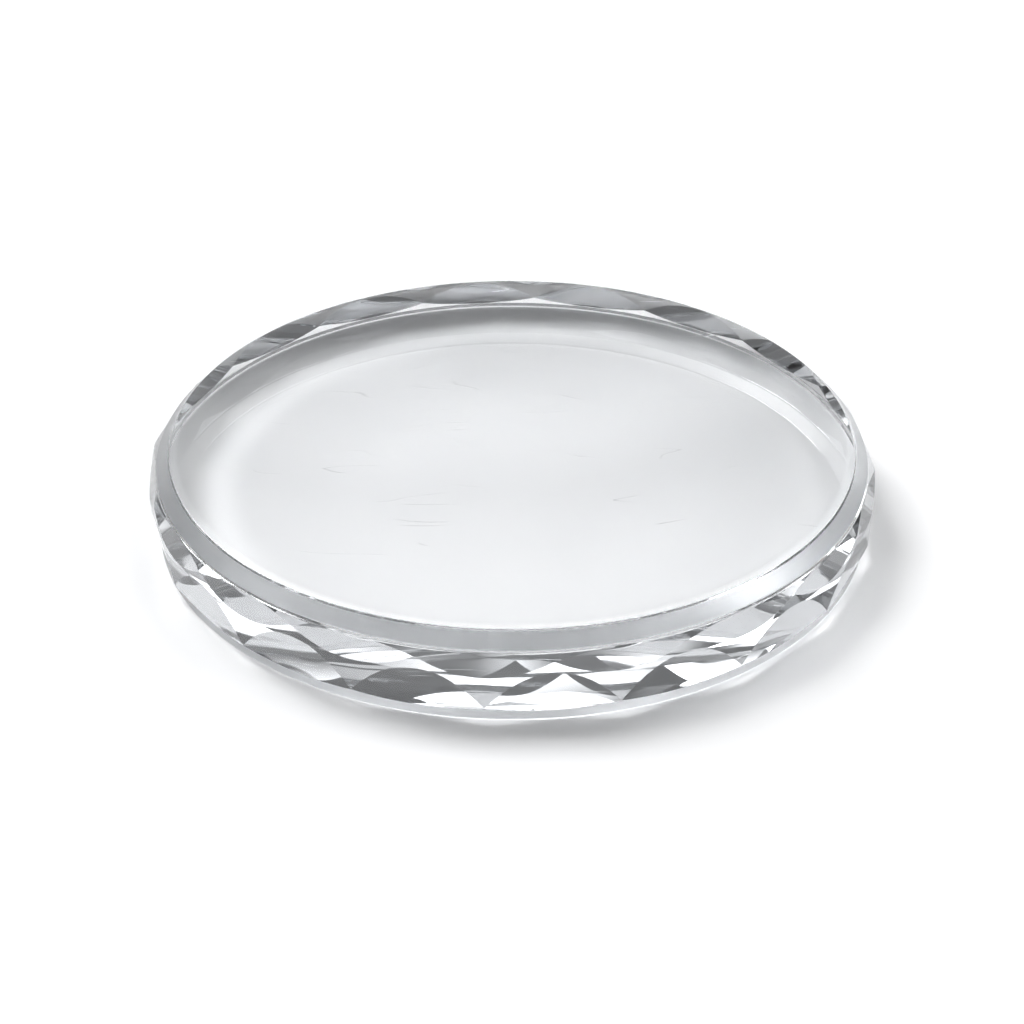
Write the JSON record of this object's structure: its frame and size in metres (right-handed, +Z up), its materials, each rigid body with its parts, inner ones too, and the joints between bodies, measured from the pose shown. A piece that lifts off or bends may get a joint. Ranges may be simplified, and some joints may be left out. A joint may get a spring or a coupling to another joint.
{
  "type": "watch glass",
  "caption": "Thick round dish of clear glass with a very shallow hollow, a bevelled rim, a band of cut facets round its side and a plain foot.",
  "frame": {"origin": "centre of the flat underside", "axes": "+Z up along the dish's axis, towards the hollow; the first shared corner of the lower facets is 94 degrees clockwise from +X"},
  "size_m": [0.1, 0.1, 0.0125],
  "materials": {
    "clear_glass": "polished"
  },
  "bodies": {
    "root": {"watch_glass": "clear_glass"}
  },
  "joints": []
}
